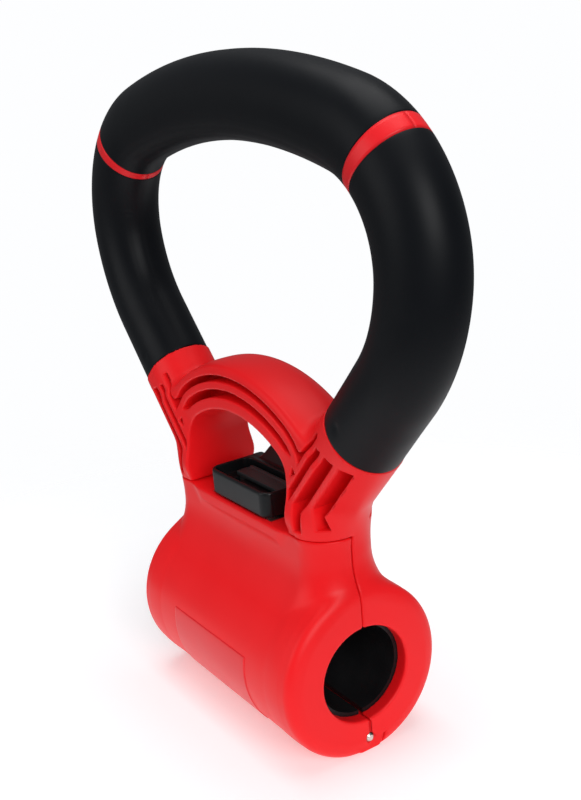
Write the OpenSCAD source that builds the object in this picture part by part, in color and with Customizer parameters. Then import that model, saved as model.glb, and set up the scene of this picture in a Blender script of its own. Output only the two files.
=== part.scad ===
// Clamp-on kettlebell handle: a padded loop handle over a split barrel that
// closes round the grip of a dumbbell. All sizes are in millimetres.
// The origin is the middle of the bore. +X runs along the bore, -Y is the
// front, where the jaw opens, and +Z points up to the handle.

/* [Barrel] */
// Length of the barrel along the bore
barrel_len = 121; // [108:1:146]
// Outer radius of the barrel
barrel_r = 36.4; // [34:0.2:44]
// Radius on the rim of the barrel's ends
barrel_edge = 4; // [1:0.5:6]
// Height of the red lip over the liner's seat, at each end of the bore
lip_rise = 1.45; // [0.6:0.05:1.6]
// Depth of that lip along the bore
lip_len = 5; // [3:0.5:9]
// How far the flat base cuts into the round barrel
base_cut = 1.6; // [0.8:0.1:2.4]
// Height that the label panel stands proud of the jaw
panel_proud = 0.35; // [0.2:0.05:0.8]
// Length of the label panel along the barrel
panel_len = 59; // [40:1:80]
// Top of the label panel above the bore axis
panel_top = 7.5; // [0:0.5:14]
// Bottom of the label panel below the bore axis
panel_drop = 24; // [16:0.5:28]
// Wall left outside the cored pockets of both jaws
jaw_wall = 3.5; // [2.5:0.1:4.5]
// Thickness of the ribs between those pockets
jaw_rib = 2.6; // [1.8:0.1:4]

/* [Neck] */
// Length of the neck along the bore
neck_len = 115; // [100:1:118]
// Depth of the neck from front to back
neck_depth = 32; // [30:0.5:38]
// Height of the neck's flat top above the bore axis
neck_top = 58; // [56:0.5:66]
// Radius of the neck's upright corners
neck_corner = 14; // [9:0.5:14.5]
// Radius of the hollow sweep from the neck to the barrel
neck_sweep = 30; // [24:1:40]

/* [Liner] */
// Clear radius between the two rubber liners
liner_r = 18.5; // [17:0.1:18.9]
// Thickness of the rubber liners
liner_t = 2.9; // [2:0.1:3.3]
// Film of adhesive behind a bonded piece
bond_gap = 0.05; // [0.02:0.01:0.1]

/* [Jaw hinge] */
// Diameter of the hinge pin
pin_d = 4; // [3:0.1:5]
// Radius of the hinge knuckles round the pin
knuckle_r = 7.4; // [6:0.1:7.6]
// Length of the jaw's knuckle at each end
end_knuckle = 16.5; // [12:0.5:20]
// Length of the jaw's knuckle in the middle
mid_knuckle = 28; // [20:0.5:34]
// Height of the pin's domed ends outside the barrel
pin_dome = 0.8; // [0.4:0.1:1.4]
// Radial clearance of a pin that turns in its bore
run_gap = 0.05; // [0.02:0.01:0.1]
// Gap between parts that move past each other
move_gap = 0.4; // [0.3:0.05:0.6]

/* [Handle] */
// Half width of the tube, measured in the plane of the loop
tube_in = 16.9; // [15.5:0.1:18]
// Half depth of the tube from front to back
tube_y = 15; // [13:0.1:15.5]
// Thickness of the rubber grips
grip_t = 2.5; // [1.5:0.1:3.5]
// Wall of the hollow core
core_wall = 3.2; // [2.4:0.1:4.5]
// Height of the middle of each red collar above the neck
collar_rise = 44; // [38:0.5:52]
// Bend radius and turn of the flat top, from its middle
top_bend_r = 264; // [200:1:320]
top_turn = 16; // [12:0.5:18]
// Bend radius and turn of the shoulders
shoulder_r = 47; // [40:0.2:56.4]
shoulder_turn = 82.5; // [78:0.5:86]
// Bend radius and turn of the lower curve
lower_r = 67; // [56:0.5:80]
lower_turn = 33.5; // [30:0.5:36]
// Straight length from the lower curve to the red collar
leg_run = 29; // [24:0.5:33]
// Angle from upright to each red band, round the shoulder
band_turn = 43.4; // [34:0.2:56]
// Width of the red bands
band_w = 5; // [3:0.5:8]
// Length of the spigot that the core slips over
spigot_len = 20; // [14:1:26]
// Clearance round that spigot
spigot_gap = 0.3; // [0.2:0.05:0.5]
// Diameter of the screws that hold the core on its spigots
core_screw_d = 4; // [3:0.5:5]
// Depth of those screws past the middle of the tube
core_screw_reach = 5; // [2:0.5:7]

/* [Arch] */
// Half width of the window under the arch
window_half = 38.5; // [34:0.5:42]
// Radius of the crown of that window
crown_r = 62; // [58:1:70]
// Radius of its two corners
haunch_r = 15; // [11:0.5:18]
// Height of the straight sides above the neck
window_side = 18.5; // [15:0.5:24]
// Depth of the arch from front to back
arch_depth = 29; // [26:0.5:30]
// Full height of the arch over its window
arch_rise = 20; // [17:0.5:24]
// Height of each of the two curved ribs
arch_rib = 4.2; // [3:0.1:5]
// Height of each of the two curved pockets
arch_pocket = 3.6; // [2.5:0.1:4.5]
// Web left between front and back pockets
arch_web = 4; // [3:0.5:8]
// Width of the innermost, middle and outermost slot in each leg
slot_w = [2.8, 4.7, 4.4];
// Width of the ribs between those slots
slot_rib = 2.6; // [1.8:0.1:3.5]
// Wall outside the outermost slot
slot_wall = 5; // [4:0.5:7]
// Distance from the collar's middle to the head of the slots
slot_head = 8.3; // [7:0.1:12]
// Height above the neck at which the slots turn upright
slot_elbow = 12.7; // [10:0.1:16]
// Height of the middle and outermost slot's foot above the neck
slot_foot = [2.8, 4.9];

/* [Latch] */
// Length of the latch along the bore
latch_len = 45; // [38:0.5:50]
// Height of the latch's rim above the neck
latch_h = 11; // [9.5:0.5:13]
// Distance from the bore axis plane to the latch pin
latch_pin_y = 7; // [6:0.25:8]
// Height of the latch pin above the neck
latch_pin_z = 5; // [4.6:0.1:5.6]
// Diameter of the latch pin
latch_pin_d = 3; // [2.5:0.1:3.4]
// Rear edge of the latch body behind the bore axis plane
latch_back = 11.5; // [10.5:0.5:13]
// Wall and rim of the latch
latch_wall = 1.8; // [1.4:0.1:2.4]
// Depth of the recess in the top
latch_recess = 5.2; // [4.6:0.1:5.6]
// Radius of the upright front corners
latch_corner = 5; // [3:0.5:7]
// Height of the thumb tab above the rim
tab_rise = 8.5; // [6:0.5:12]
// Half width of the thumb tab at its tip
tab_half = 7.5; // [5:0.5:11]
// Width of the tongue that holds the jaw
tongue_w = 18; // [14:0.5:20]
// Thickness of that tongue
tongue_t = 3; // [2:0.1:3.6]
// Depth that it reaches below the top of the jaw
tongue_reach = 4.6; // [3.6:0.1:5]
// Front face of the tongue, in front of the bore axis plane
tongue_front = 9.5; // [9:0.25:10]
// Thickness of the steel catch plate
plate_t = 1.5; // [1:0.1:2]
// Length of the catch plate
plate_len = 46; // [44:0.5:48]
// Diameter of the wire of the return springs
wire_d = 0.9; // [0.6:0.1:1]
// Number of coils in each return spring
coils = 5; // [3:1:6]

/* [Lock] */
// Size of the sliding lock plate along the bore
lock_len = 33; // [28:0.5:35]
// Size of the plate from front to back
lock_wide = 8.6; // [7:0.2:9]
// Thickness of the plate
lock_t = 2.2; // [1.6:0.1:2.6]
// Travel of the lock towards the front
lock_travel = 5; // [4:0.5:5]
// Width of each of its two legs
lock_leg_w = 4; // [3:0.2:4.4]
// Thickness of the legs and their toes
lock_leg_t = 1.8; // [1.4:0.1:2]

/* [Hidden] */
$fn = 64;
red = [0.86, 0.16, 0.17];
black = [0.1, 0.11, 0.12];
steel = [0.75, 0.76, 0.78];
far = 400;

// Barrel and neck
half_len = barrel_len / 2;
seat_r = liner_r + liner_t + bond_gap;
lip_r = seat_r - lip_rise;
seat_half = half_len - lip_len;
base_z = base_cut - barrel_r;
neck_half = neck_len / 2;
neck_y = neck_depth / 2;
corner_x = neck_half - neck_corner;
corner_y = neck_y - neck_corner;
sweep_z = sqrt(pow(barrel_r + neck_sweep, 2) - pow(neck_y + neck_sweep, 2));
sweep_end = sweep_z * barrel_r / (barrel_r + neck_sweep);
split = move_gap / 2;
core_block = 27; // solid middle between the cored pockets
core_face_y = 12; // inner face of the pockets beside the bore
core_low = 14; // half height of those pockets
core_span = neck_half - jaw_wall - core_block / 2;

// Jaw hinge
pin_r = pin_d / 2;
pin_z = -barrel_r + knuckle_r + 0.2;
swing_r = knuckle_r + move_gap;
knuckle_gap = 0.3;
end_inner = half_len - end_knuckle;
mid_half = mid_knuckle / 2;

// Handle loop: centre and angle of each bend, angles from upright. The bends
// are added up from the top, and the collars' height sets where that top is.
function outward(a) = [sin(a), cos(a)];
turn1 = top_turn;
turn2 = turn1 + shoulder_turn;
turn3 = turn2 + lower_turn;
leg_dir = [cos(turn3), -sin(turn3)];
bends = (top_bend_r - shoulder_r) * outward(turn1) + (shoulder_r - lower_r) * outward(turn2)
    + lower_r * outward(turn3) + leg_run * leg_dir;
collar_c = [bends[0], neck_top + collar_rise];
top_c = collar_c - bends;
shoulder_c = top_c + (top_bend_r - shoulder_r) * outward(turn1);
lower_c = shoulder_c + (shoulder_r - lower_r) * outward(turn2);
band_half = band_w / 2 / shoulder_r * 180 / PI;
core_screw_r = core_screw_d / 2;

// Arch window, from a crown and two corners that meet smoothly
spring_z = neck_top + window_side;
haunch_x = window_half - haunch_r;
crown_z = spring_z - sqrt(pow(crown_r - haunch_r, 2) - pow(haunch_x, 2));
arch_y = arch_depth / 2;
arch_far = window_half + 15.5; // where the crown gives way to the leg
foot_inset = 0.1; // keeps the foot's rounded corner just inside the neck's
foot_low = neck_top + 6;
foot_high = neck_top + 16;
leg_foot = neck_top + 9.8; // height at which the leg's middle ends
leg_len = (collar_c[1] - leg_foot) / sin(turn3);

// Pockets of the arch, as distances from its window, and where they end
rim_pocket = arch_rib + 0.8;
rim_pocket_end = neck_top + 32;
band_pocket = rim_pocket + arch_pocket + arch_rib - 0.9;
band_edge = band_pocket + arch_pocket - 1;
wedge_edge = slot_in(0) - slot_rib;
wedge_arm = 1.6;
wedge_end = slot_head - 1.3;
slot_slant = 0.33;
slot_rim = 1.8;

// Latch and lock
latch_half = latch_len / 2;
latch_z0 = neck_top + move_gap;
latch_top = neck_top + latch_h;
latch_front = neck_y - 0.2;
lpin_z = neck_top + latch_pin_z;
lpin_r = latch_pin_d / 2;
lug_r = latch_pin_z - 1.4;
recess_z = latch_top - latch_recess;
recess_back = 3.5;
lug_in = 8.5;
lug_out = 14.7;
jaw_top = neck_top - move_gap;
lock_z = recess_z + 0.3;
lock_y1 = 3;
lock_y0 = lock_y1 - lock_wide;
lock_leg_x = 12.8;
lock_leg_y = -5.2;
toe_reach = 3;
plate_z = jaw_top - plate_t;
plate_front = 14;
plate_back = 2.6;
slot_front = 12.2;
slot_back = tongue_front - tongue_t - 0.3;
screw_x = plate_len / 2 - 4;
screw_y = -8.5;
screw_r = 1.5;
screw_len = 10;
cross_slot = 0.6;
cross_deep = 0.8;

// ---- shapes that several parts share ----

// A cylinder along X, from x0 to x1, at the height and depth given
module rod_x(r, x0, x1, y = 0, z = 0) {
    translate([x0, y, z]) rotate([0, 90, 0]) cylinder(r = r, h = x1 - x0);
}

// A block from one corner to the opposite corner
module block(a, b) {
    translate(a) cube(b - a);
}

// An outline in Y and Z, pushed along X from x0 to x1
module along_x(x0, x1) {
    translate([x0, 0, 0]) rotate([90, 0, 90]) linear_extrude(x1 - x0) children();
}

// An outline in X and Z, pushed along Y from y0 to y1
module along_y(y0, y1) {
    translate([0, y1, 0]) rotate([90, 0, 0]) linear_extrude(y1 - y0) children();
}

// The same children on both sides of the YZ plane
module both_sides() {
    children();
    mirror([1, 0, 0]) children();
}

// Rectangle with two kinds of rounded corners: r0 at low y, r1 at high y
module soft_rect(x, y0, y1, r0, r1) {
    translate([-x + r0, y0]) square([2 * (x - r0), r0]);
    translate([-x, y0 + r0]) square([2 * x, y1 - y0 - r0 - r1]);
    translate([-x + r1, y1 - r1]) square([2 * (x - r1), r1]);
    for (s = [-1, 1]) {
        translate([s * (x - r0), y0 + r0]) circle(r0);
        translate([s * (x - r1), y1 - r1]) circle(r1);
    }
}

// ---- barrel and neck, one body before it is split ----

// Cross-section of barrel and neck, drawn in by "inset" all round
module bulb(inset = 0) {
    circle(barrel_r - inset);
    difference() {
        polygon([[0, 0], [neck_y + neck_sweep, sweep_z], [neck_y - inset, sweep_z],
                 [neck_y - inset, neck_top - inset], [inset - neck_y, neck_top - inset],
                 [inset - neck_y, sweep_z], [-neck_y - neck_sweep, sweep_z]]);
        for (s = [-1, 1])
            translate([s * (neck_y + neck_sweep), sweep_z]) circle(neck_sweep + inset);
    }
}

// Outline of the neck's corner, from its upright axis outwards
module corner_outline() {
    difference() {
        polygon([[0, sweep_end], [neck_corner + neck_sweep, sweep_end],
                 [neck_corner + neck_sweep, sweep_z], [neck_corner, sweep_z],
                 [neck_corner, neck_top], [0, neck_top]]);
        translate([neck_corner + neck_sweep, sweep_z]) circle(neck_sweep);
    }
}

// One end of the barrel and neck, beyond the neck's corner axes
module body_end() {
    rotate([0, 90, 0]) rotate_extrude() {
        translate([0, corner_x]) square([barrel_r - barrel_edge, half_len - corner_x]);
        translate([0, corner_x]) square([barrel_r, half_len - barrel_edge - corner_x]);
        translate([barrel_r - barrel_edge, half_len - barrel_edge]) circle(barrel_edge);
    }
    intersection() {
        union() {
            for (s = [-1, 1]) translate([corner_x, s * corner_y, 0])
                rotate_extrude() corner_outline();
            translate([corner_x, 0, 0]) along_y(-corner_y, corner_y) corner_outline();
        }
        block([corner_x, -far, 0], [half_len - 0.02, far, far]);
    }
}

module body_solid() {
    along_x(-corner_x, corner_x) bulb();
    both_sides() body_end();
}

// Bore, liner seat and base, taken out of both jaws
module body_cuts() {
    rod_x(lip_r, -far, far);
    rod_x(seat_r, -seat_half, seat_half);
    block([-far, -far, -far], [far, far, base_z]);
}

// Pockets that core out a jaw, open to the split and to the liner's seat
module jaw_cores(side) {
    bay = core_span / 2;
    for (s = [-1, 1]) for (i = [0 : 1]) {
        x0 = core_block / 2 + i * bay;
        x1 = x0 + bay - jaw_rib;
        intersection() {
            along_x(min(s * x0, s * x1), max(s * x0, s * x1)) bulb(jaw_wall);
            union() {
                block([-far, min(0, side * far), seat_r + jaw_wall],
                      [far, max(0, side * far), neck_top - jaw_wall]);
                block([-far, min(side * core_face_y, side * far), -core_low],
                      [far, max(side * core_face_y, side * far), core_low]);
            }
        }
    }
}

// The x ranges of the jaw's knuckles, and of the frame's between them
function jaw_knuckles() = [[-half_len, -end_inner], [-mid_half, mid_half], [end_inner, half_len]];
function frame_knuckles() = [[-end_inner, -mid_half], [mid_half, end_inner]];

// One side of the split body, with its own knuckles and room for the others
module jaw_half(side, own, others) {
    difference() {
        union() {
            intersection() {
                body_solid();
                block([-far, side < 0 ? -far : split, -far], [far, side < 0 ? -split : far, far]);
            }
            for (k = own) rod_x(knuckle_r, k[0] + knuckle_gap / 2, k[1] - knuckle_gap / 2, 0, pin_z);
        }
        body_cuts();
        for (k = others) rod_x(swing_r, k[0] - knuckle_gap / 2, k[1] + knuckle_gap / 2, 0, pin_z);
        jaw_cores(side);
    }
}

// ---- handle loop ----

// Rounded section of the tube, drawn in by "inset"; x lies in the loop's plane
module tube_section(inset = 0) {
    flat = tube_in - tube_y;
    r = tube_y - inset;
    for (s = [-1, 1]) translate([s * flat, 0]) circle(r);
    translate([-flat, -r]) square([2 * flat, 2 * r]);
}

// The same section as a point, at an angle from the loop's outside
function section_side(a) = cos(a) > 0.001 ? 1 : cos(a) < -0.001 ? -1 : 0;
function section_point(a, inset) =
    [(tube_y - inset) * cos(a) + section_side(a) * (tube_in - tube_y), (tube_y - inset) * sin(a)];

// Stations along the centre line: [x, z, angle from upright, outer inset]
function bend_stations(c, r, a0, a1, n, inset) =
    [for (i = [0 : n]) let (a = a0 + (a1 - a0) * i / n)
        [c[0] + r * sin(a), c[1] + r * cos(a), a, inset]];
function mirrored(st) = [for (i = [len(st) - 1 : -1 : 0]) [-st[i][0], st[i][1], -st[i][2], st[i][3]]];
function top_stations(inset) = bend_stations(top_c, top_bend_r, 0, turn1, 4, inset);
function neck_stations(inset) =
    bend_stations(shoulder_c, shoulder_r, turn1, band_turn - band_half, 5, inset);
function band_stations(inset) =
    bend_stations(shoulder_c, shoulder_r, band_turn - band_half, band_turn + band_half, 1, inset);
function side_stations(inset) = concat(
    bend_stations(shoulder_c, shoulder_r, band_turn + band_half, turn2, 9, inset),
    skip_first(bend_stations(lower_c, lower_r, turn2, turn3, 5, inset)),
    [[collar_c[0], collar_c[1], turn3, inset]]);
function skip_first(st) = [for (i = [1 : len(st) - 1]) st[i]];
function right_core() = concat(skip_first(top_stations(grip_t)), skip_first(neck_stations(grip_t)),
    band_stations(0), side_stations(grip_t));
function core_stations() = concat(mirrored(right_core()), [top_stations(grip_t)[0]], right_core());
function top_right() = concat(skip_first(top_stations(0)), skip_first(neck_stations(0)));
function top_grip_stations() = concat(mirrored(top_right()), [top_stations(0)[0]], top_right());

// A hollow tube, or half of one, from its stations, its section's angles and
// the inset of its inner wall. "round" says whether the section closes.
module tube_shell(st, angles, inner, round) {
    n = len(angles);
    m = len(st);
    function place(s, q) = [s[0] + q[0] * sin(s[2]), q[1], s[1] + q[0] * cos(s[2])];
    outer_points = [for (s = st) for (a = angles) place(s, section_point(a, s[3]))];
    inner_points = [for (s = st) for (a = angles) place(s, section_point(a, inner))];
    last = m - 1;
    function o(j, i) = j * n + (i % n);
    function c(j, i) = (m + j) * n + (i % n);
    steps = [0 : round ? n - 1 : n - 2];
    polyhedron(concat(outer_points, inner_points), concat(
        [for (j = [0 : last - 1]) for (i = steps) [o(j, i), o(j, i + 1), o(j + 1, i + 1), o(j + 1, i)]],
        [for (j = [0 : last - 1]) if (st[j][0] != st[j + 1][0]) for (i = steps)
            [c(j, i), c(j + 1, i), c(j + 1, i + 1), c(j, i + 1)]],
        [for (i = steps) [o(0, i + 1), o(0, i), c(0, i), c(0, i + 1)]],
        [for (i = steps) [o(last, i), o(last, i + 1), c(last, i + 1), c(last, i)]],
        round ? [] : [for (j = [0 : last - 1]) each [[o(j, 0), o(j + 1, 0), c(j + 1, 0), c(j, 0)],
            [c(j, n - 1), c(j + 1, n - 1), o(j + 1, n - 1), o(j, n - 1)]]]));
}

ring_angles = [for (i = [0 : 23]) i * 15];

// A straight stretch of tube along the leg, from its collar by "from" to "to"
module leg_tube(from, to, inset) {
    translate([collar_c[0], 0, collar_c[1]]) rotate([0, 90 + turn3, 0])
        translate([0, 0, from]) linear_extrude(to - from) tube_section(inset);
}

// Half of the hollow core: front from 180 to 360 degrees, back from 0 to 180
module core_half(a0) {
    color(red) difference() {
        tube_shell(core_stations(), [for (i = [0 : 12]) a0 + i * 15], grip_t + core_wall, false);
        core_screw_bores();
    }
}

module core_front() { core_half(180); }
module core_back() { core_half(0); }

module grip_top() {
    color(black) tube_shell(top_grip_stations(), ring_angles, grip_t - bond_gap, true);
}

module side_grip() {
    tube_shell(side_stations(0), ring_angles, grip_t - bond_gap, true);
}

module grip_right() { color(black) side_grip(); }
module grip_left() { color(black) mirror([1, 0, 0]) side_grip(); }

// Cross recess of a screw head, of a given width
module cross(w) {
    for (a = [0, 90]) rotate(a) translate([-w / 2, -cross_slot / 2, 0]) cube([w, cross_slot, 2]);
}

// Screws through the back of the core into each spigot
module core_screw_axes() {
    both_sides() translate([collar_c[0], 0, collar_c[1]]) rotate([0, 90 + turn3, 0])
        translate([0, 0, -spigot_len / 2]) rotate([-90, 0, 0]) children();
}

module core_screw_bores() {
    core_screw_axes() translate([0, 0, -core_screw_reach])
        cylinder(r = core_screw_r + 0.02, h = far);
}

module core_screws() {
    head_y = tube_y - grip_t - 0.2;
    color(steel) core_screw_axes() difference() {
        translate([0, 0, -core_screw_reach]) cylinder(r = core_screw_r, h = core_screw_reach + head_y);
        translate([0, 0, head_y - cross_deep]) cross(2 * core_screw_r - 1.6);
    }
}

// ---- main frame ----

// Window under the arch, widened by "grow". The crown's arc gives way to a
// corner's arc on the line through both their middles.
module window_outline(grow = 0) {
    reach = 3 * [haunch_x, spring_z - crown_z];
    intersection() {
        translate([0, crown_z]) circle(crown_r + grow, $fn = 128);
        translate([-window_half - grow, 0]) square([2 * (window_half + grow), far]);
        union() {
            polygon([[-haunch_x, spring_z], [haunch_x, spring_z], [haunch_x, spring_z] + reach,
                     [-haunch_x - reach[0], spring_z + reach[1]]]);
            translate([-window_half - grow, 0]) square([2 * (window_half + grow), spring_z]);
            for (s = [-1, 1]) translate([s * haunch_x, spring_z]) circle(haunch_r + grow);
        }
    }
}

// Everything of the arch that lies over the neck, before its pockets
module arch_solid() {
    // the crown and its filling between the two legs
    along_y(-arch_y, arch_y) difference() {
        intersection() {
            translate([0, crown_z]) circle(crown_r + arch_rise, $fn = 128);
            polygon([[-collar_c[0], collar_c[1]], [-window_half - 2, foot_low],
                     [window_half + 2, foot_low], collar_c,
                     [collar_c[0], far], [-collar_c[0], far]]);
            translate([-arch_far, 0]) square([2 * arch_far, far]);
        }
        window_outline();
    }
    both_sides() {
        difference() {
            leg_tube(0, leg_len, 0);
            block([-far, -far, -far], [window_half, far, spring_z]);
            block([-far, -far, -far], [far, far, neck_top + split]);
            along_y(-far, far) window_outline();
        }
        // foot, with the neck's own rounded corner
        intersection() {
            translate([0, 0, neck_top - 1]) linear_extrude(20)
                soft_rect(neck_half - foot_inset, foot_inset - neck_y, neck_y - foot_inset,
                          neck_corner - foot_inset, neck_corner - foot_inset);
            along_y(-far, far) polygon([[window_half, neck_top - 1], [neck_half, neck_top - 1],
                [neck_half, foot_low], [neck_half - 5, foot_high], [window_half, foot_high]]);
        }
        leg_spigot();
    }
}

module leg_spigot() {
    leg_tube(-spigot_len, 1, grip_t + core_wall + spigot_gap);
}

// A point of the leg's face: "u" outwards from its middle, "t" down from its
// collar; and the point of the line at "u" that has a given x
function leg_point(u, t) = collar_c + t * leg_dir + u * outward(turn3);
function leg_at(u, x) = leg_point(u, (leg_point(u, 0)[0] - x) / -leg_dir[0]);

// Outer and inner edge of each slot, counted inwards from the leg's outer wall
function slot_out(i) = i == 2 ? tube_in - slot_wall : slot_in(i + 1) - slot_rib;
function slot_in(i) = slot_out(i) - slot_w[i];
function slot_corner(u) = leg_point(u, slot_head - slot_slant * u);

// The innermost slot runs out beside the window's rim
module inner_slot() {
    x = window_half + slot_rim;
    polygon([slot_corner(slot_in(0)), slot_corner(slot_out(0)),
             leg_at(slot_out(0), x), leg_at(slot_in(0), x)]);
}

// The other two follow the leg down to an elbow and turn upright there
module elbow_slot(i) {
    middle = (slot_in(i) + slot_out(i)) / 2;
    drop = (leg_point(middle, 0)[1] - neck_top - slot_elbow) / sin(turn3);
    x = leg_point(middle, drop)[0];
    half = slot_w[i] / 2;
    foot = neck_top + slot_foot[i - 1];
    polygon([slot_corner(slot_in(i)), slot_corner(slot_out(i)), leg_at(slot_out(i), x + half),
             [x + half, foot], [x - half, foot], leg_at(slot_in(i), x - half)]);
}

// Face of the arch's outer band, whose end is cut off along the leg
module band_outline() {
    end = wedge_edge - wedge_arm;
    difference() {
        polygon([[0, 0], leg_point(end, leg_len), leg_point(end, -leg_len), [0, far]]);
        window_outline(band_edge);
    }
}

// Pocket under the band. It opens into a wedge between the arch and the leg,
// and goes round the band's end in a narrow arm.
module band_pocket_outline() {
    difference() {
        polygon([[0, 0], leg_point(wedge_edge, leg_len), leg_point(wedge_edge, wedge_end),
                 leg_point(wedge_edge - wedge_arm, wedge_end), [0, far]]);
        window_outline(band_pocket);
        band_outline();
        translate([-far, 0]) square([2 * far, spring_z]);
    }
}

// Outlines of all pockets in the face of the arch
module pocket_outlines() {
    difference() {
        window_outline(rim_pocket + arch_pocket);
        window_outline(rim_pocket);
        translate([-far, 0]) square([2 * far, rim_pocket_end]);
    }
    for (s = [0, 1]) mirror([s, 0]) {
        band_pocket_outline();
        inner_slot();
        elbow_slot(1);
        elbow_slot(2);
    }
}

module frame_pockets() {
    along_y(-far, -arch_web / 2) pocket_outlines();
    along_y(arch_web / 2, far) intersection() {
        pocket_outlines();
        translate([-far, neck_top + 3]) square([2 * far, far]);
    }
}

// Lugs on the neck that carry the latch pin
module latch_lugs() {
    both_sides() {
        rod_x(lug_r, lug_in, lug_out, latch_pin_y, lpin_z);
        block([lug_in, latch_pin_y - lug_r, neck_top - 1], [lug_out, latch_pin_y + lug_r, lpin_z]);
    }
}

module main_frame() {
    color(red) difference() {
        union() {
            jaw_half(1, frame_knuckles(), jaw_knuckles());
            difference() {
                arch_solid();
                block([-far, -far, 0], [far, split + 0.05, neck_top]);
                frame_pockets();
            }
            latch_lugs();
        }
        rod_x(pin_r + run_gap, -far, far, 0, pin_z);
        rod_x(lpin_r, -lug_out - 1, lug_out + 1, latch_pin_y, lpin_z);
        core_screw_bores();
    }
}

// ---- liners ----

module liner(side) {
    color(black) difference() {
        rod_x(liner_r + liner_t, -seat_half + bond_gap, seat_half - bond_gap);
        rod_x(liner_r, -far, far);
        block([-far, side < 0 ? -1 : -far, -far], [far, side < 0 ? far : 1, far]);
        rod_x(swing_r + 0.6, -far, far, 0, pin_z);
    }
}

module back_liner() { liner(1); }
module front_liner() { liner(-1); }

// ---- front jaw ----

module label_panel() {
    intersection() {
        rod_x(barrel_r + panel_proud, -panel_len / 2, panel_len / 2);
        block([-far, -far, -panel_drop], [far, -liner_r, panel_top]);
    }
}

// Room in the top of the jaw for the plate, the tongue and the lock's toes
module catch_room() {
    block([-plate_len / 2 - bond_gap, -plate_front - bond_gap, plate_z - bond_gap / 2],
          [plate_len / 2 + bond_gap, -plate_back + bond_gap, far]);
    room_x = lock_leg_x + lock_leg_w / 2 + 1;
    block([-room_x, -plate_front - move_gap, jaw_top - tongue_reach - 2.2], [room_x, -plate_back, far]);
}

module front_jaw() {
    color(red) difference() {
        union() {
            jaw_half(-1, jaw_knuckles(), frame_knuckles());
            difference() {
                label_panel();
                body_cuts();
            }
        }
        block([-far, -far, jaw_top], [far, far, far]);
        catch_room();
        rod_x(pin_r, -far, far, 0, pin_z);
        for (s = [-1, 1]) translate([s * screw_x, screw_y, plate_z - screw_len + 1])
            cylinder(r = screw_r, h = screw_len + 1);
    }
}

// ---- small steel parts ----

module hinge_pin() {
    end = half_len + pin_dome;
    color(steel) translate([0, 0, pin_z]) rotate([0, 90, 0]) rotate_extrude()
        polygon([[0, -end], [pin_r * 0.6, -end], [pin_r, -half_len], [pin_r, half_len],
                 [pin_r * 0.6, end], [0, end]]);
}

module catch_plate() {
    leg_room = lock_leg_w / 2 + move_gap;
    tongue_room = tongue_w / 2 + 0.5;
    color(steel) difference() {
        block([-plate_len / 2, -plate_front, plate_z], [plate_len / 2, -plate_back, jaw_top]);
        block([-tongue_room, -slot_front, plate_z - 1], [tongue_room, -slot_back, jaw_top + 1]);
        both_sides() block([lock_leg_x - leg_room, -slot_front, plate_z - 1],
              [lock_leg_x + leg_room, lock_leg_y + lock_leg_t + 0.5, jaw_top + 1]);
        for (s = [-1, 1]) translate([s * screw_x, screw_y, 0]) {
            cylinder(r = screw_r + 0.2, h = far);
            translate([0, 0, jaw_top - 1.2]) cylinder(r1 = screw_r + 0.2, r2 = screw_r + 1.4, h = 1.2);
        }
    }
}

module catch_screws() {
    color(steel) for (s = [-1, 1]) translate([s * screw_x, screw_y, 0]) difference() {
        union() {
            translate([0, 0, plate_z - screw_len + 2]) cylinder(r = screw_r, h = screw_len - 1);
            translate([0, 0, jaw_top - 1.15]) cylinder(r1 = screw_r + 0.1, r2 = screw_r + 1.25, h = 1.15);
        }
        translate([0, 0, jaw_top - cross_deep]) cross(2 * screw_r + 0.4);
    }
}

module latch_pin() {
    color(steel) rod_x(lpin_r, -latch_half + 0.6, latch_half - 0.6, latch_pin_y, lpin_z);
}

// A close-wound torsion spring round the latch pin, with two short legs
module spring() {
    ring_r = lpin_r + 0.25 + wire_d / 2;
    pitch = wire_d * 0.9;
    color(steel) {
        for (i = [0 : coils - 1]) translate([2 + (i + 0.5) * pitch, latch_pin_y, lpin_z])
            rotate([0, 90, 0]) rotate_extrude() translate([ring_r, 0]) circle(wire_d / 2, $fn = 24);
        translate([2 + 0.5 * pitch, latch_pin_y - ring_r, neck_top + wire_d / 2 + 0.3])
            cylinder(r = wire_d / 2 - 0.03, h = latch_pin_z - wire_d / 2 - 0.3, $fn = 24);
        translate([2 + (coils - 0.5) * pitch, latch_pin_y, lpin_z + ring_r]) rotate([90, 0, 0])
            cylinder(r = wire_d / 2 - 0.03, h = 3, $fn = 24);
    }
}

module spring_right() { spring(); }
module spring_left() { mirror([1, 0, 0]) spring(); }

// ---- latch ----

// Side view of the latch: box at the front, ramp and thumb tab at the back
module latch_side() {
    polygon([[-latch_front, latch_z0], [latch_pin_y, latch_z0], [latch_back, latch_z0],
             [latch_back, latch_top - 1], [latch_back + 0.8, latch_top + tab_rise - 1],
             [latch_back - 0.4, latch_top + tab_rise], [latch_back - 2, latch_top + tab_rise - 0.6],
             [latch_back - 3.4, latch_top + 1.2], [latch_back - 5.4, latch_top],
             [-latch_front, latch_top]]);
}

// Front view of the latch: a box whose back edge sweeps up to the tab
module latch_face() {
    r = tab_rise + 1;
    translate([-latch_half, latch_z0]) square([latch_len, latch_top - latch_z0]);
    difference() {
        translate([-tab_half - r, latch_top]) square([2 * (tab_half + r), tab_rise]);
        for (s = [-1, 1]) translate([s * (tab_half + r), latch_top + r]) circle(r);
    }
}

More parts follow.
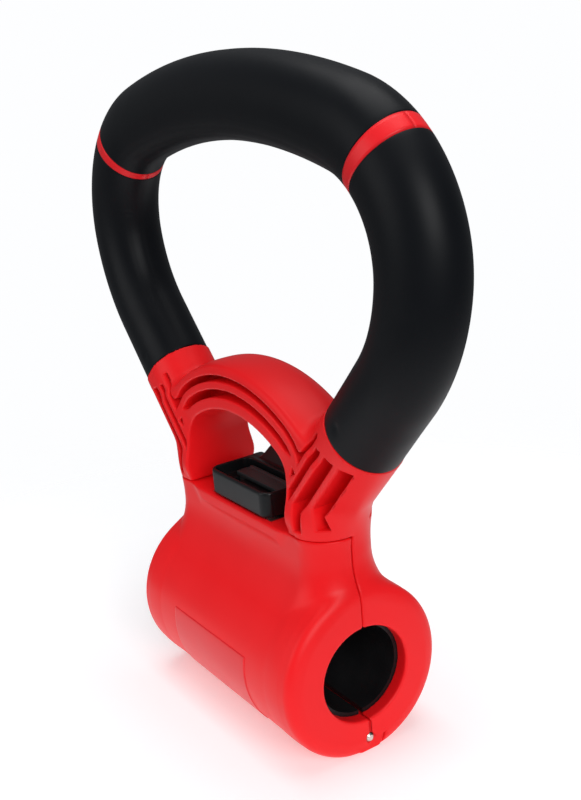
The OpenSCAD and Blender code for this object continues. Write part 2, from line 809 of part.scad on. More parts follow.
module latch_lever() {
    leg_room = lock_leg_w / 2 + 0.3;
    color(black) difference() {
        union() {
            intersection() {
                translate([0, 0, latch_z0]) linear_extrude(latch_h + tab_rise)
                    soft_rect(latch_half, -latch_front, latch_back + 1, latch_corner, 2.5);
                along_x(-latch_half, latch_half) latch_side();
                along_y(-far, far) latch_face();
            }
            // tongue
            block([-tongue_w / 2, -tongue_front, jaw_top - tongue_reach],
                  [tongue_w / 2, tongue_t - tongue_front, recess_z - 1]);
        }
        // recess in the top, behind a thin rim
        translate([0, 0, recess_z]) linear_extrude(far)
            soft_rect(latch_half - latch_wall, latch_wall - latch_front, recess_back,
                      latch_corner - latch_wall, 0.6);
        // hollow underside in front of the pin
        difference() {
            block([-latch_half + latch_wall, latch_wall - latch_front, -far],
                  [latch_half - latch_wall, recess_back - 1.4, recess_z - 2]);
            block([-tongue_w / 2, -tongue_front, -far], [tongue_w / 2, tongue_t - tongue_front, far]);
        }
        // room for the lugs and springs, and for the back edge to swing down
        block([-lug_out - 0.3, latch_pin_y - lug_r - 1, -far], [lug_out + 0.3, far, lpin_z]);
        rod_x(lug_r + 0.6, -lug_out - 0.3, lug_out + 0.3, latch_pin_y, lpin_z);
        difference() {
            block([-far, latch_pin_y, -far], [far, far, lpin_z]);
            rod_x(latch_pin_z - 0.5, -far, far, latch_pin_y, lpin_z);
        }
        // slots for the lock's legs
        both_sides() block([lock_leg_x - leg_room, lock_leg_y - lock_travel - move_gap, recess_z - 4],
              [lock_leg_x + leg_room, lock_leg_y + lock_leg_t + 0.3, far]);
        rod_x(lpin_r + run_gap, -latch_half + 0.5, latch_half - 0.5, latch_pin_y, lpin_z);
    }
}

module lock_slider() {
    toe_z = plate_z - 0.3 - lock_leg_t;
    corner = 1.5;
    rib_x = lock_len / 2 - 6;
    rib_half = 0.35;
    rib_pitch = 1.5;
    color(black) {
        translate([0, 0, lock_z]) linear_extrude(lock_t)
            soft_rect(lock_len / 2, lock_y0, lock_y1, corner, corner);
        for (i = [-2 : 2]) translate([0, lock_y0 + lock_wide / 2 + i * rib_pitch, lock_z + lock_t])
            block([-rib_x, -rib_half, -0.1], [rib_x, rib_half, 0.4]);
        both_sides() {
            block([lock_leg_x - lock_leg_w / 2, lock_leg_y, toe_z],
                  [lock_leg_x + lock_leg_w / 2, lock_leg_y + lock_leg_t, lock_z + 0.5]);
            block([lock_leg_x - lock_leg_w / 2, lock_leg_y - toe_reach, toe_z],
                  [lock_leg_x + lock_leg_w / 2, lock_leg_y + 0.5, toe_z + lock_leg_t]);
        }
    }
}

main_frame();
core_front();
core_back();
grip_top();
grip_left();
grip_right();
back_liner();
front_jaw();
front_liner();
hinge_pin();
catch_plate();
catch_screws();
core_screws();
latch_lever();
latch_pin();
spring_left();
spring_right();
lock_slider();
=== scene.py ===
import math

import bpy
import numpy as np
from mathutils import Matrix, Vector


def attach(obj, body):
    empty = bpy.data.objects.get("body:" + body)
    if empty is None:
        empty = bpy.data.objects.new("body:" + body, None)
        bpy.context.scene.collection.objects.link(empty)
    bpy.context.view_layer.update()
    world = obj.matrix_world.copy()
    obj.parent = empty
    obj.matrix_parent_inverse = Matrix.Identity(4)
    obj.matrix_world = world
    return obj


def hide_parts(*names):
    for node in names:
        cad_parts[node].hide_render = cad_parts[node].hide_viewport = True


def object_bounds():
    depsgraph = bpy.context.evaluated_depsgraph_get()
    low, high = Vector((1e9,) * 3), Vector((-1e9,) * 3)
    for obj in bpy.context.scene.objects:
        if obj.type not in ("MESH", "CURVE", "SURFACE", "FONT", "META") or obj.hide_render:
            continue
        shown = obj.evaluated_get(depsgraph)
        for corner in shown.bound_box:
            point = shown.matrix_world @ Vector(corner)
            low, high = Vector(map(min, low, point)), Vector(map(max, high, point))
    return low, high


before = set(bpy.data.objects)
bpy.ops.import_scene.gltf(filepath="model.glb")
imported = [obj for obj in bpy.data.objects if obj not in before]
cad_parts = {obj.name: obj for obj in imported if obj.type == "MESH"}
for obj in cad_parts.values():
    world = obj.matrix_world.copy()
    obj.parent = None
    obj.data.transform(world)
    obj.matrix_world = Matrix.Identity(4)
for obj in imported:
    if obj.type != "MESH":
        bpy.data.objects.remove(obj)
cad_low, cad_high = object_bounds()
base_z = cad_low.z


# ---- camera ----
# It stands a little above the handle, off the open right-hand end of the
# barrel, and looks slightly down, with a normal lens.
def aim_camera(place, yaw, pitch, roll, lens, shift):
    """Yaw turns from +Y towards +X, pitch lifts the view, and roll turns it clockwise, all in degrees."""
    yaw, pitch, roll = (math.radians(v) for v in (yaw, pitch, roll))
    ahead = np.array([math.sin(yaw) * math.cos(pitch), math.cos(yaw) * math.cos(pitch), math.sin(pitch)])
    side = np.cross(ahead, [0, 0, 1])
    side /= np.linalg.norm(side)
    up = np.cross(side, ahead)
    right = math.cos(roll) * side + math.sin(roll) * up
    top = -math.sin(roll) * side + math.cos(roll) * up
    camera = bpy.data.objects.new("camera", bpy.data.cameras.new("camera"))
    bpy.context.scene.collection.objects.link(camera)
    turn = Matrix(np.column_stack([right, top, -ahead]).tolist())
    camera.matrix_world = Matrix.Translation(place) @ turn.to_4x4()
    camera.data.lens = lens
    camera.data.sensor_width = 36
    camera.data.shift_x, camera.data.shift_y = shift
    camera.data.clip_start, camera.data.clip_end = 0.01, 50
    return camera


bpy.context.scene.camera = aim_camera(
    place=(0.37393, -0.22247, 0.23298),
    yaw=-57.415,
    pitch=-17.275,
    roll=-4.789,
    lens=49.96,
    shift=(-0.0055, 0.0029),
)


# ---- studio ----
# A white floor that runs into a white backdrop, a large soft light overhead,
# a key light off the barrel's open end and a weak fill from the front.
def studio_floor():
    """A flat round floor, level with the part's base, that fades away before its rim."""
    sides, reach = 96, 6.0
    solid_to, clear_from = 0.14, 0.42
    around = np.linspace(0, 2 * np.pi, sides, endpoint=False)
    rim = np.column_stack([reach * np.cos(around), reach * np.sin(around), np.full(sides, base_z)])
    mesh = bpy.data.meshes.new("floor")
    mesh.from_pydata(rim.tolist(), [], [list(range(sides))])
    floor = bpy.data.objects.new("floor", mesh)
    bpy.context.scene.collection.objects.link(floor)
    paper = bpy.data.materials.new("white_paper")
    paper.use_nodes = True
    nodes, links = paper.node_tree.nodes, paper.node_tree.links
    shader = nodes["Principled BSDF"]
    shader.inputs["Base Color"].default_value = (0.86, 0.865, 0.88, 1)
    shader.inputs["Roughness"].default_value = 0.9
    shader.inputs["Specular IOR Level"].default_value = 0.1
    shader.inputs["Emission Color"].default_value = (1, 1, 1, 1)
    shader.inputs["Emission Strength"].default_value = 0.3
    place = nodes.new("ShaderNodeTexCoord")
    distance = nodes.new("ShaderNodeVectorMath")
    distance.operation = "LENGTH"
    links.new(place.outputs["Object"], distance.inputs[0])
    fade = nodes.new("ShaderNodeMapRange")
    fade.interpolation_type = "SMOOTHSTEP"
    fade.inputs["From Min"].default_value = solid_to
    fade.inputs["From Max"].default_value = clear_from
    links.new(distance.outputs["Value"], fade.inputs["Value"])
    clear = nodes.new("ShaderNodeBsdfTransparent")
    mix = nodes.new("ShaderNodeMixShader")
    links.new(fade.outputs["Result"], mix.inputs["Fac"])
    links.new(shader.outputs["BSDF"], mix.inputs[1])
    links.new(clear.outputs["BSDF"], mix.inputs[2])
    links.new(mix.outputs["Shader"], nodes["Material Output"].inputs["Surface"])
    mesh.materials.append(paper)


def soft_light(name, place, size, power):
    """A square area light of that size and power, turned towards the middle of the handle."""
    light = bpy.data.objects.new(name, bpy.data.lights.new(name, "AREA"))
    bpy.context.scene.collection.objects.link(light)
    light.location = place
    aim = Vector((0, 0, 0.1)) - light.location
    light.rotation_euler = aim.to_track_quat("-Z", "Y").to_euler()
    light.data.size = size
    light.data.energy = power


def backdrop():
    """White to the camera, and a dimmer grey to everything that it lights."""
    world = bpy.data.worlds.new("backdrop")
    bpy.context.scene.world = world
    world.use_nodes = True
    nodes, links = world.node_tree.nodes, world.node_tree.links
    seen = nodes["Background"]
    seen.inputs["Color"].default_value = (0.985, 0.99, 1, 1)
    seen.inputs["Strength"].default_value = 1.0
    around = nodes.new("ShaderNodeBackground")
    around.inputs["Color"].default_value = (0.93, 0.96, 1, 1)
    around.inputs["Strength"].default_value = 0.2
    path = nodes.new("ShaderNodeLightPath")
    mix = nodes.new("ShaderNodeMixShader")
    links.new(path.outputs["Is Camera Ray"], mix.inputs["Fac"])
    links.new(around.outputs[0], mix.inputs[1])
    links.new(seen.outputs[0], mix.inputs[2])
    links.new(mix.outputs[0], nodes["World Output"].inputs["Surface"])


studio_floor()
backdrop()
soft_light("overhead", (-0.1, 0.1, 1.3), 1.0, 9.5)
soft_light("key", (1.3, -0.35, 0.75), 0.8, 13)
soft_light("fill", (-0.5, -1.5, 0.6), 1.0, 6.5)
bpy.context.scene.view_settings.view_transform = "Standard"


# ---- main frame ----
# One glass-filled nylon moulding: the back half of the barrel and neck, the
# ribbed arch over the latch, and the two collars that carry the handle. The
# sizes are in millimetres; an edge's or a corner's value is its radius.
MM = 0.001
barrel_r, half_len, barrel_edge = 36.4, 60.5, 4.0
neck_half, neck_y, neck_top = 57.5, 16.0, 58.0
neck_corner, neck_sweep = 14.0, 30.0
split = 0.2
bore_r, seat_r, seat_half = 20.0, 21.45, 55.5
pin_z, pin_bore_r, knuckle_r = -28.8, 2.05, 7.4
end_inner, mid_half = 44.0, 14.0
knuckle_gap, swing_gap = 0.3, 0.4
leg_turn = math.radians(132)
collar_x, collar_z = 70.42, 102.0
tube_flat, tube_r, leg_len = 1.8, 15.0, 46.0
spring_z, haunch_x, haunch_r, crown_r = 76.5, 23.5, 15.0, 62.0
crown_z = spring_z - math.sqrt((crown_r - haunch_r) ** 2 - haunch_x**2)
arch_r, arch_y = 82.0, 14.5
front_fall, back_fall = 2.2, 7.0
spigot_flat, spigot_r, spigot_len = 1.9, 9.0, 20.0
latch_pin_y, latch_pin_z, far = 7.0, 63.0, 99.0


def smooth_min(a, b, k):
    """The lower of two distances, rounded off where they differ by less than k."""
    h = np.maximum(k - np.abs(a - b), 0) / k
    return np.minimum(a, b) - h * h * k / 4


def smooth_max(a, b, k):
    """The higher of two distances, rounded off in the same way."""
    return -smooth_min(-a, -b, k)


def corner_distance(a, b, r):
    """Distance to where two half spaces overlap, with their edge rounded to radius r."""
    a, b = a + r, b + r
    return np.hypot(np.maximum(a, 0), np.maximum(b, 0)) + np.minimum(np.maximum(a, b), 0) - r


def box_distance(x, y, z, low, high, r=0.4):
    """Distance to a box with edges rounded to radius r, from its lowest and highest corners."""
    q = [np.abs(v - (a + b) / 2) - (b - a) / 2 + r for v, a, b in zip((x, y, z), low, high)]
    out = np.sqrt(sum(np.maximum(v, 0) ** 2 for v in q))
    return out + np.minimum(np.maximum(np.maximum(q[0], q[1]), q[2]), 0) - r


def leg_axes(x, z):
    """How far a point of the face lies outwards from the nearer leg's middle, and down from its collar."""
    side = np.abs(x) - collar_x
    u = side * math.sin(leg_turn) + (z - collar_z) * math.cos(leg_turn)
    t = side * math.cos(leg_turn) - (z - collar_z) * math.sin(leg_turn)
    return u, t


def barrel_and_neck(x, y, z):
    """The barrel is a cylinder with rounded ends. The neck is a rounded slab that sweeps out to the barrel
    in a hollow arc, and the two are blended a little towards the ends."""
    along = np.abs(x) - half_len
    barrel = corner_distance(np.hypot(y, z) - barrel_r, along, barrel_edge)
    wall = corner_distance(np.abs(x) - neck_half, np.abs(y) - neck_y, neck_corner)
    out = wall + neck_y
    arc_y = neck_y + neck_sweep
    arc_z = math.sqrt((barrel_r + neck_sweep) ** 2 - arc_y**2)
    hollow = neck_sweep - np.hypot(out - arc_y, z - arc_z)
    below = np.hypot(out, z) - barrel_r
    flare = np.where(z > arc_z, wall, np.where(z * arc_y > out * arc_z, hollow, below))
    flare = corner_distance(flare, along, 1.5)
    blend = 0.02 + 3.0 * np.clip((np.abs(x) - 43) / 10, 0, 1)
    return smooth_min(barrel, flare, blend)


def window(x, z):
    """Distance outside the arch window: upright sides, two small corner arcs and a wide crown arc."""
    side = np.abs(x)
    crown = np.hypot(x, z - crown_z) - crown_r
    haunch = np.hypot(side - haunch_x, z - spring_z) - haunch_r
    upper = np.where(side * (spring_z - crown_z) > haunch_x * (z - crown_z), haunch, crown)
    return np.where(z < spring_z, side - haunch_x - haunch_r, upper)


def outline(x, z, corners):
    """Distance to a closed outline of straight edges, negative inside: the nearest edge gives its size, and
    the number of edges that a ray towards +X crosses gives its sign."""
    nearest = np.inf
    inside = False
    for (ax, az), (bx, bz) in zip(corners, corners[1:] + corners[:1]):
        ex, ez = bx - ax, bz - az
        t = np.clip(((x - ax) * ex + (z - az) * ez) / (ex * ex + ez * ez), 0, 1)
        nearest = np.minimum(nearest, np.hypot(x - ax - t * ex, z - az - t * ez))
        if az != bz:
            inside = inside ^ (((az > z) != (bz > z)) & (x < ax + (z - az) * ex / ez))
    return np.where(inside, -nearest, nearest)


def leg_point(u, t):
    """The point of the face at u outwards from the leg's middle and t down from its collar."""
    out, down = (math.sin(leg_turn), math.cos(leg_turn)), (math.cos(leg_turn), -math.sin(leg_turn))
    return collar_x + u * out[0] + t * down[0], collar_z + u * out[1] + t * down[1]


def leg_at(u, x):
    """The point of the leg's line at u that has a given x."""
    return leg_point(u, (leg_point(u, 0)[0] - x) / -math.cos(leg_turn))


slot_edges = ((-5.2, -2.4), (0.2, 4.9), (7.5, 11.9))
slot_feet = (None, neck_top + 2.8, neck_top + 4.9)
slot_head, slot_slant, elbow_z = 8.3, 0.33, neck_top + 12.7


def leg_slots():
    """Corners of the three slots. Each follows the leg down from under the collar. The inner one runs out
    beside the window's rim, and the other two turn upright at an elbow."""
    found = []
    for (near, out), foot in zip(slot_edges, slot_feet):
        heads = [leg_point(u, slot_head - slot_slant * u) for u in (near, out)]
        if foot is None:
            low = haunch_x + haunch_r + 1.8
            found.append(heads + [leg_at(out, low), leg_at(near, low)])
            continue
        middle, half = (near + out) / 2, 0.42 * (out - near)
        elbow = leg_point(middle, (leg_point(middle, 0)[1] - elbow_z) / math.sin(leg_turn))[0]
        upright = [(elbow + half, foot), (elbow - half, foot)]
        found.append(heads + [leg_at(out, elbow + half)] + upright + [leg_at(near, elbow - half)])
    return found


def face_pockets(x, z):
    """The pocket over the window's rim, the one under the outer band, which opens into a wedge and goes
    round the band's rounded end in a narrow arm, each leg's three slots and a small triangle beside them."""
    over = window(x, z)
    side = np.abs(x)
    u, t = leg_axes(x, z)
    rim = smooth_max(np.abs(over - 6.8) - 1.75, 90.0 - z + 0.35 * (8.5 - over), 1.0)
    band = corner_distance(14.6 - over, u + 9.6, 3.0)
    under = smooth_max(smooth_max(11.9 - over, u + 7.8, 1.5), 7.0 - t, 0.5)
    found = np.minimum(rim, smooth_max(under, -band, 0.4))
    for corners in leg_slots():
        found = np.minimum(found, outline(side, z, corners))
    return np.minimum(found, outline(side, z, [(41.9, 82.4), (43.4, 86.3), (45.7, 84.3)]))


def handle_base(x, y, z):
    """The whole outer body, before it is split: barrel and neck, ribbed arch, and two legs with round
    collars. The crown of the arch falls away a little to the front and more to the back."""
    side = np.abs(x)
    u, t = leg_axes(x, z)
    tube = np.hypot(np.maximum(np.abs(u) - tube_flat, 0), y) - tube_r
    leg = smooth_max(np.maximum(tube, -t), t - leg_len, 2)
    fall = np.where(y < 0, front_fall, back_fall) * np.clip(np.abs(y) / arch_y, 0, 1) ** 2.6
    crown = np.hypot(x, z - crown_z) - arch_r + fall
    arch = smooth_max(np.maximum(crown, u), np.abs(y) - arch_y, 2.5)
    arch = np.maximum(arch, neck_top - 2 - z)
    legs = np.where(t > 0, smooth_min(arch, leg, 5.0), np.maximum(leg, -t))
    wall = corner_distance(side - neck_half, np.abs(y) - neck_y, neck_corner)
    foot = smooth_max(np.maximum(wall, neck_top - 4 - z), z - 68, 8)
    body = np.minimum(smooth_max(barrel_and_neck(x, y, z), z - neck_top, 0.6), foot)
    d = smooth_min(body, legs, 8.0)
    opening = np.maximum(window(x, z), neck_top - z)
    d = smooth_max(d, -opening, 1.2)
    pocket = smooth_max(face_pockets(x, z), 2.0 - np.abs(y), 1.0)
    return smooth_max(d, -pocket, 0.7)


def spigots(x, y, z):
    """The plain oval stubs inside the grips that the handle's core slips over."""
    u, t = leg_axes(x, z)
    stub = np.hypot(np.maximum(np.abs(u) - spigot_flat, 0), y) - spigot_r
    return np.maximum(stub, np.maximum(-spigot_len - t, t - 1))


def bore_and_base(x, y, z, d):
    """Cuts the lipped bore and the liner's seat out of the barrel, then the flat base."""
    d = smooth_max(d, bore_r - np.hypot(y, z), 1.2)
    d = np.maximum(d, -np.maximum(np.hypot(y, z) - seat_r, np.abs(x) - seat_half))
    return smooth_max(d, base_z / MM - z, 0.8)


def knuckles(x, y, z, d, own, others):
    """Adds the hinge knuckles of one side and makes room for the other side's."""
    reach = np.hypot(y, z - pin_z)
    side = np.abs(x)
    for a, b in own:
        along = np.abs(side - (a + b) / 2) - (b - a) / 2 + knuckle_gap / 2
        d = smooth_min(d, corner_distance(reach - knuckle_r, along, 0.5), 0.3)
    for a, b in others:
        along = np.abs(side - (a + b) / 2) - (b - a) / 2 - knuckle_gap / 2
        d = smooth_max(d, -np.maximum(reach - knuckle_r - swing_gap, along), 0.4)
    return np.maximum(d, pin_bore_r - reach)


def coring(x, y, z, body):
    """Pockets in two bays on each side, over the bore and beside it, that leave a wall of even thickness."""
    side = np.abs(x)
    wall, floor, roof = 3.5, 25.0, 54.5
    bays = np.minimum(np.abs(side - 19.9) - 6.4, np.abs(side - 37.5) - 8.6)
    over_bore = np.maximum(floor - z, z - roof)
    beside_bore = np.maximum(12 - np.abs(y), np.abs(z) - 14)
    pocket = smooth_max(bays, np.minimum(over_bore, beside_bore), 1.0)
    return smooth_max(pocket, body + wall, 1.0)


end_knuckles = (end_inner, half_len + knuckle_gap / 2)
frame_knuckles = [(mid_half, end_inner)]
jaw_knuckles = [end_knuckles, (-mid_half, mid_half)]


def frame_field(x, y, z):
    """Everything of the main frame, as one distance: the body behind the split, its cuts, the spigots, and
    the two lugs with the latch pin's bore, which is put far off outside them."""
    d = smooth_max(handle_base(x, y, z), np.minimum(split - y, neck_top - z), 0.7)
    d = np.maximum(d, -coring(x, y, z, barrel_and_neck(x, y, z)))
    d = knuckles(x, y, z, d, frame_knuckles, jaw_knuckles)
    d = bore_and_base(x, y, z, d)
    d = np.minimum(d, spigots(x, y, z))
    pin = np.hypot(y - latch_pin_y, z - latch_pin_z)
    lug = np.minimum(pin - 3.6, np.maximum(np.abs(y - latch_pin_y) - 3.6, np.abs(z - 60) - 3))
    lug = smooth_max(lug, np.abs(np.abs(x) - 11.6) - 3.1, 0.6)
    pin_bore = 1.5 - pin - far * (np.abs(x) > 15)
    return np.maximum(np.minimum(d, lug), pin_bore)


def moulded(name, field, low, high, cell, share=1.0):
    """A solid whose skin is where field(x, y, z) is zero, in millimetres, between two corners.
    The field is sampled on a grid of cubes. Each cube that the skin crosses gets one point, the mean of
    the crossings on its edges, and the points round each crossed edge join into a quad. The points then
    step along the field's slope to the skin itself, and the slope gives their normals. "share" is
    how much of the triangles is kept, fewest where the skin is flat."""
    axes = [np.arange(a, b + cell, cell, dtype=np.float32) for a, b in zip(low, high)]
    f = field(axes[0][:, None, None], axes[1][None, :, None], axes[2][None, None, :])
    f = np.asarray(f, np.float32)
    inside = f < 0
    corners = [(i, j, k) for i in (0, 1) for j in (0, 1) for k in (0, 1)]
    shape = [n - 1 for n in f.shape]

    def corner(a, c):
        return a[c[0] : c[0] + shape[0], c[1] : c[1] + shape[1], c[2] : c[2] + shape[2]]

    count = sum(corner(inside, c).astype(np.int8) for c in corners)
    active = (count > 0) & (count < 8)
    cells = np.argwhere(active)
    index = np.full(shape, -1, np.int32)
    index[active] = np.arange(len(cells))
    total = np.zeros((len(cells), 3))
    hits = np.zeros(len(cells))
    for c in corners:
        for axis in range(3):
            if c[axis]:
                continue
            e = list(c)
            e[axis] = 1
            fa, fb = corner(f, c)[active], corner(f, e)[active]
            crossed = (fa < 0) != (fb < 0)
            step = np.where(crossed, fa / np.where(crossed, fa - fb, 1), 0)
            place = np.tile(np.array(c, float), (len(cells), 1))
            place[:, axis] += step
            total += place * crossed[:, None]
            hits += crossed
    points = (cells + total / hits[:, None]) * cell + np.array([a[0] for a in axes])
    quads = []
    for axis in range(3):
        b, c = (axis + 1) % 3, (axis + 2) % 3
        ahead = [slice(1, -1)] * 3
        ahead[axis] = slice(1, None)
        here = [slice(1, -1)] * 3
        here[axis] = slice(0, -1)
        start, end = inside[tuple(here)], inside[tuple(ahead)]
        for first, turn in ((True, 1), (False, -1)):
            at = np.argwhere((start == first) & (end != first))
            at[:, b] += 1
            at[:, c] += 1
            ring = []
            for db, dc in ((-1, -1), (0, -1), (0, 0), (-1, 0)):
                p = at.copy()
                p[:, b] += db
                p[:, c] += dc
                ring.append(index[p[:, 0], p[:, 1], p[:, 2]])
            quads.append(np.column_stack(ring)[:, ::turn])
    quads = np.concatenate(quads)

    def slope(p, h):
        g = [field(*(p + h * e).T) - field(*(p - h * e).T) for e in np.eye(3)]
        return np.column_stack(g) / (2 * h)

    for _ in range(2):
        g = slope(points, 0.2 * cell)
        steep = np.maximum((g**2).sum(1), 0.2)
        step = -field(*points.T)[:, None] * g / steep[:, None]
        points += np.clip(step, -0.35 * cell, 0.35 * cell)
    mesh = bpy.data.meshes.new(name)
    mesh.from_pydata((points * MM).tolist(), [], quads.tolist())
    piece = bpy.data.objects.new(name, mesh)
    bpy.context.scene.collection.objects.link(piece)
    if share < 1:
        thin = piece.modifiers.new("thin", "DECIMATE")
        thin.ratio = share
        thin.use_collapse_triangulate = True
        kept = bpy.data.meshes.new_from_object(piece.evaluated_get(bpy.context.evaluated_depsgraph_get()))
        piece.modifiers.clear()
        piece.data = kept
        kept.name = name
        bpy.data.meshes.remove(mesh)
        mesh = kept
    mesh.polygons.foreach_set("use_smooth", np.ones(len(mesh.polygons), bool))
    place = np.empty(len(mesh.vertices) * 3, np.float32)
    mesh.vertices.foreach_get("co", place)
    normal = slope(place.reshape(-1, 3) / MM, 0.35)
    normal /= np.maximum(np.linalg.norm(normal, axis=1), 1e-6)[:, None]
    mesh.normals_split_custom_set_from_vertices(normal.tolist())
    return piece


def grain_group():
    """Fine moulded grain and slow unevenness, from two noises of very different sizes."""
    group = bpy.data.node_groups.new("moulded_grain", "ShaderNodeTree")
    faces = group.interface
    faces.new_socket("Vector", in_out="INPUT", socket_type="NodeSocketVector")
    faces.new_socket("Grain per metre", in_out="INPUT", socket_type="NodeSocketFloat")
    faces.new_socket("Patches per metre", in_out="INPUT", socket_type="NodeSocketFloat")
    faces.new_socket("Height", in_out="OUTPUT", socket_type="NodeSocketFloat")
    faces.new_socket("Patch", in_out="OUTPUT", socket_type="NodeSocketFloat")
    nodes, links = group.nodes, group.links
    given = nodes.new("NodeGroupInput")
    result = nodes.new("NodeGroupOutput")
    for source, target, detail in (("Grain per metre", "Height", 3), ("Patches per metre", "Patch", 4)):
        noise = nodes.new("ShaderNodeTexNoise")
        noise.inputs["Detail"].default_value = detail
        links.new(given.outputs["Vector"], noise.inputs["Vector"])
        links.new(given.outputs[source], noise.inputs["Scale"])
        links.new(noise.outputs["Fac"], result.inputs[target])
    return group


moulded_grain = grain_group()


def grained_material(name, dark, light, rough, grain, depth, patches, specular=0.3, metallic=0.0):
    """A grained surface whose colour and roughness drift a little over the piece.
    "rough" is its lowest and highest roughness, "grain" and "patches" are per metre, "depth" is in metres."""
    material = bpy.data.materials.new(name)
    material.use_nodes = True
    nodes, links = material.node_tree.nodes, material.node_tree.links
    shader = nodes["Principled BSDF"]
    shader.inputs["Metallic"].default_value = metallic
    shader.inputs["Specular IOR Level"].default_value = specular
    place = nodes.new("ShaderNodeTexCoord")
    group = nodes.new("ShaderNodeGroup")
    group.node_tree = moulded_grain
    group.inputs["Grain per metre"].default_value = grain
    group.inputs["Patches per metre"].default_value = patches
    links.new(place.outputs["Object"], group.inputs["Vector"])
    tint = nodes.new("ShaderNodeMix")
    tint.data_type = "RGBA"
    tint.inputs["A"].default_value = (*dark, 1)
    tint.inputs["B"].default_value = (*light, 1)
    links.new(group.outputs["Patch"], tint.inputs["Factor"])
    links.new(tint.outputs["Result"], shader.inputs["Base Color"])
    spread = nodes.new("ShaderNodeMapRange")
    spread.inputs["From Min"].default_value = 0.3
    spread.inputs["From Max"].default_value = 0.7
    spread.inputs["To Min"].default_value = rough[0]
    spread.inputs["To Max"].default_value = rough[1]
    links.new(group.outputs["Patch"], spread.inputs["Value"])
    links.new(spread.outputs["Result"], shader.inputs["Roughness"])
    bump = nodes.new("ShaderNodeBump")
    bump.inputs["Strength"].default_value = 0.6
    bump.inputs["Distance"].default_value = depth
    links.new(group.outputs["Height"], bump.inputs["Height"])
    links.new(bump.outputs["Normal"], shader.inputs["Normal"])
    return material


def finish_piece(piece, material, body, slot_name, *nodes):
    """Gives a piece its material and body, and hides the CAD nodes that it stands for. Its slot name is not
    used.
    """
    piece.data.materials.clear()
    piece.data.materials.append(material)
    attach(piece, body)
    if nodes:
        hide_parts(*nodes)


red_plastic = grained_material(
    "red_nylon", (0.84, 0.007, 0.010), (0.93, 0.010, 0.014), (0.36, 0.46), 2600, 0.00002, 28, 0.22
)
main_frame = moulded("frame_moulding", frame_field, (-90, -19, -37), (90, 39, 120), 0.8, 0.5)
finish_piece(main_frame, red_plastic, "frame", "red_moulding", "main_frame")


# ---- front jaw ----
# The front half of the barrel and neck, moulded in the same red nylon. It
# swings down on the hinge pin; its face carries a smooth label panel.
jaw_top = 57.6
panel_half, panel_top, panel_low = 29.0, 7.5, -24.0
panel_rise, panel_sunk, panel_edge, panel_back = 0.38, 0.05, 0.7, 0.5


def jaw_field(x, y, z):
    """The front half, with room in its top for the catch plate and the latch's tongue."""
    d = smooth_max(smooth_max(handle_base(x, y, z), z - jaw_top, 0.8), y + split, 0.7)
    d = np.maximum(d, -coring(x, y, z, barrel_and_neck(x, y, z)))
    d = knuckles(x, y, z, d, jaw_knuckles, frame_knuckles)
    d = bore_and_base(x, y, z, d)
    plate = box_distance(x, y, z, (-23.1, -14.1, 56.05), (23.1, -2.5, 70), 0.2)
    room = box_distance(x, y, z, (-15.9, -14.4, 50.8), (15.9, -2.5, 70), 0.5)
    return np.maximum(d, -np.minimum(plate, room))


def closed_grid(name, points, close_rows=True, cap=None):
    """A mesh from rows of points in millimetres. Each row is a closed ring, and "cap" lists
    the faces, by column, that close the first and last row where the rows don't meet."""
    rows, cols = points.shape[:2]
    row = np.arange(rows if close_rows else rows - 1)[:, None]
    here = np.arange(cols)[None, :]
    ahead = (here + 1) % cols
    low, high = row * cols, ((row + 1) % rows) * cols
    faces = np.stack([low + here, low + ahead, high + ahead, high + here], -1).reshape(-1, 4).tolist()
    if cap is not None:
        faces += [list(reversed(f)) for f in cap]
        faces += [[i + (rows - 1) * cols for i in f] for f in cap]
    mesh = bpy.data.meshes.new(name)
    mesh.from_pydata((points.reshape(-1, 3) * MM).tolist(), [], faces)
    mesh.polygons.foreach_set("use_smooth", np.ones(len(mesh.polygons), bool))
    piece = bpy.data.objects.new(name, mesh)
    bpy.context.scene.collection.objects.link(piece)
    return piece


def label_panel():
    """A thin curved plate: each point is an angle round the barrel and a place along it. Its height
    over the barrel follows a rounded step at all four edges."""
    n = 61
    across = np.linspace(-1, 1, n)
    bend = np.sign(across) * (1 - (1 - np.abs(across)) ** 1.6)
    start, end = math.asin(panel_low / barrel_r), math.asin(panel_top / barrel_r)
    middle, half = (start + end) / 2, (end - start) / 2
    x = panel_half * bend[:, None] + np.zeros((n, n))
    angle = middle + half * bend[None, :] + np.zeros((n, n))
    edge = np.minimum(panel_half - np.abs(x), barrel_r * (half - np.abs(angle - middle)))
    rounded = np.sqrt(np.clip(1 - (1 - np.clip(edge / panel_edge, 0, 1)) ** 2, 0, 1))
    r = barrel_r + (panel_rise * rounded - panel_sunk)
    return x, -r * np.cos(angle), r * np.sin(angle)


def panel_piece():
    """The plate's outer skin, backed by the same skin half a millimetre further in."""
    x, y, z = label_panel()
    outer = np.stack([x, y, z], -1)
    scale = (barrel_r - panel_back) / np.hypot(y, z)
    inner = np.stack([x, y * scale, z * scale], -1)
    n = outer.shape[0]
    grid = np.arange(n * n).reshape(n, n)
    front = np.stack([grid[:-1, :-1], grid[:-1, 1:], grid[1:, 1:], grid[1:, :-1]], -1).reshape(-1, 4)
    back = front[:, ::-1] + n * n
    rim = np.concatenate([grid[:, 0], grid[-1, 1:], grid[-2::-1, -1], grid[0, -2:0:-1]])
    ahead = np.roll(rim, -1)
    wall = np.column_stack([rim, ahead, ahead + n * n, rim + n * n])
    mesh = bpy.data.meshes.new("label_panel")
    points = np.concatenate([outer.reshape(-1, 3), inner.reshape(-1, 3)]) * MM
    mesh.from_pydata(points.tolist(), [], np.concatenate([front, back, wall]).tolist())
    mesh.polygons.foreach_set("use_smooth", np.ones(len(mesh.polygons), bool))
    piece = bpy.data.objects.new("label_panel", mesh)
    bpy.context.scene.collection.objects.link(piece)
    return piece


